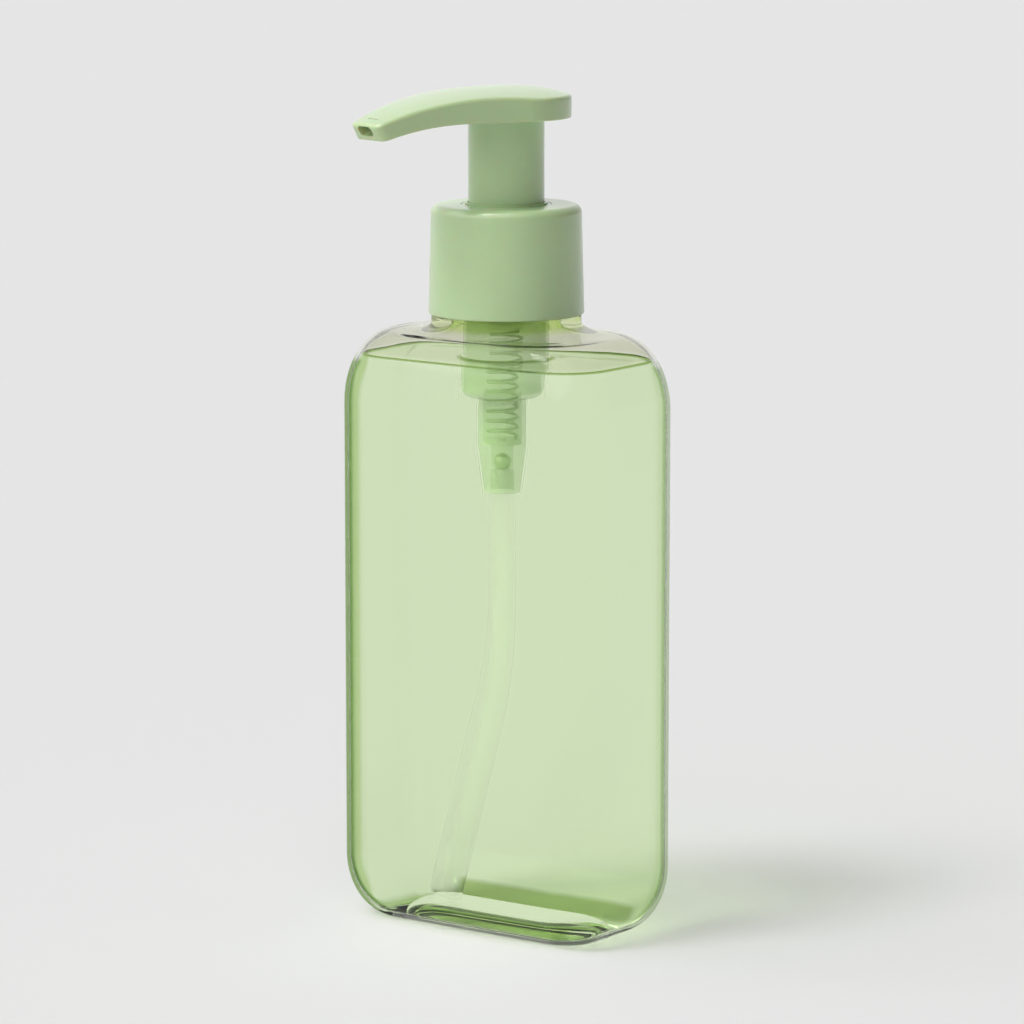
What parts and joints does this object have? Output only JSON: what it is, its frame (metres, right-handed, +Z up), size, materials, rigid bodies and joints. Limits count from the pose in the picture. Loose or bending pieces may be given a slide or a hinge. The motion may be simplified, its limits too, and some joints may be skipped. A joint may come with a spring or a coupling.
{
  "type": "face wash bottle",
  "caption": "Clear rounded rectangular bottle with a tinted gel inside and a screw-on lotion pump with a long drooping spout.",
  "frame": {"origin": "on the neck's axis in the plane that the bottle stands on", "axes": "+Z up along the neck's axis, +X along the wide face, -Y out of the front face; the spout points mostly towards -Y"},
  "size_m": [0.0656, 0.0551, 0.1745],
  "materials": {
    "clear_plastic": "clear, glossy, blown",
    "gel": "clear pale green gel",
    "green_plastic": "translucent pale green, satin gloss",
    "natural_plastic": "translucent, unpigmented",
    "steel": "drawn wire and ground ball"
  },
  "bodies": {
    "bottle": {"bottle": "clear_plastic", "gel": "gel"},
    "pump": {"housing": "natural_plastic", "gasket": "natural_plastic", "guide_ring": "green_plastic", "ball_cage": "natural_plastic", "dip_tube": "natural_plastic"},
    "collar": {"collar": "green_plastic"},
    "plunger": {"piston": "natural_plastic", "spring": "steel"},
    "head": {"head": "green_plastic", "stem": "natural_plastic", "valve_rod": "natural_plastic"},
    "ball": {"ball": "steel"}
  },
  "joints": [
    {"name": "pump_lift", "type": "slide", "parent": "bottle", "child": "pump", "axis": [0, 0, 1], "range_m": [0, 0.00635]},
    {"name": "collar_turn", "type": "hinge", "parent": "pump", "child": "collar", "pos_m": [0, 0, 0.139], "axis": [0, 0, 1], "range_deg": [0, 540]},
    {"name": "press", "type": "slide", "parent": "pump", "child": "plunger", "axis": [0, 0, -1], "range_m": [0, 0.014], "stiffness_N_per_m": 900, "springref_m": -0.003, "deforming": ["spring"]},
    {"name": "head_turn", "type": "hinge", "parent": "plunger", "child": "head", "pos_m": [0, 0, 0.16], "axis": [0, 0, 1], "continuous": true},
    {"name": "ball_lift", "type": "slide", "parent": "pump", "child": "ball", "axis": [0, 0, 1], "range_m": [0, 0.001]}
  ],
  "couplings": [
    {"joint": "pump_lift", "follows": "collar_turn", "m_per_rad": 0.0006737}
  ]
}
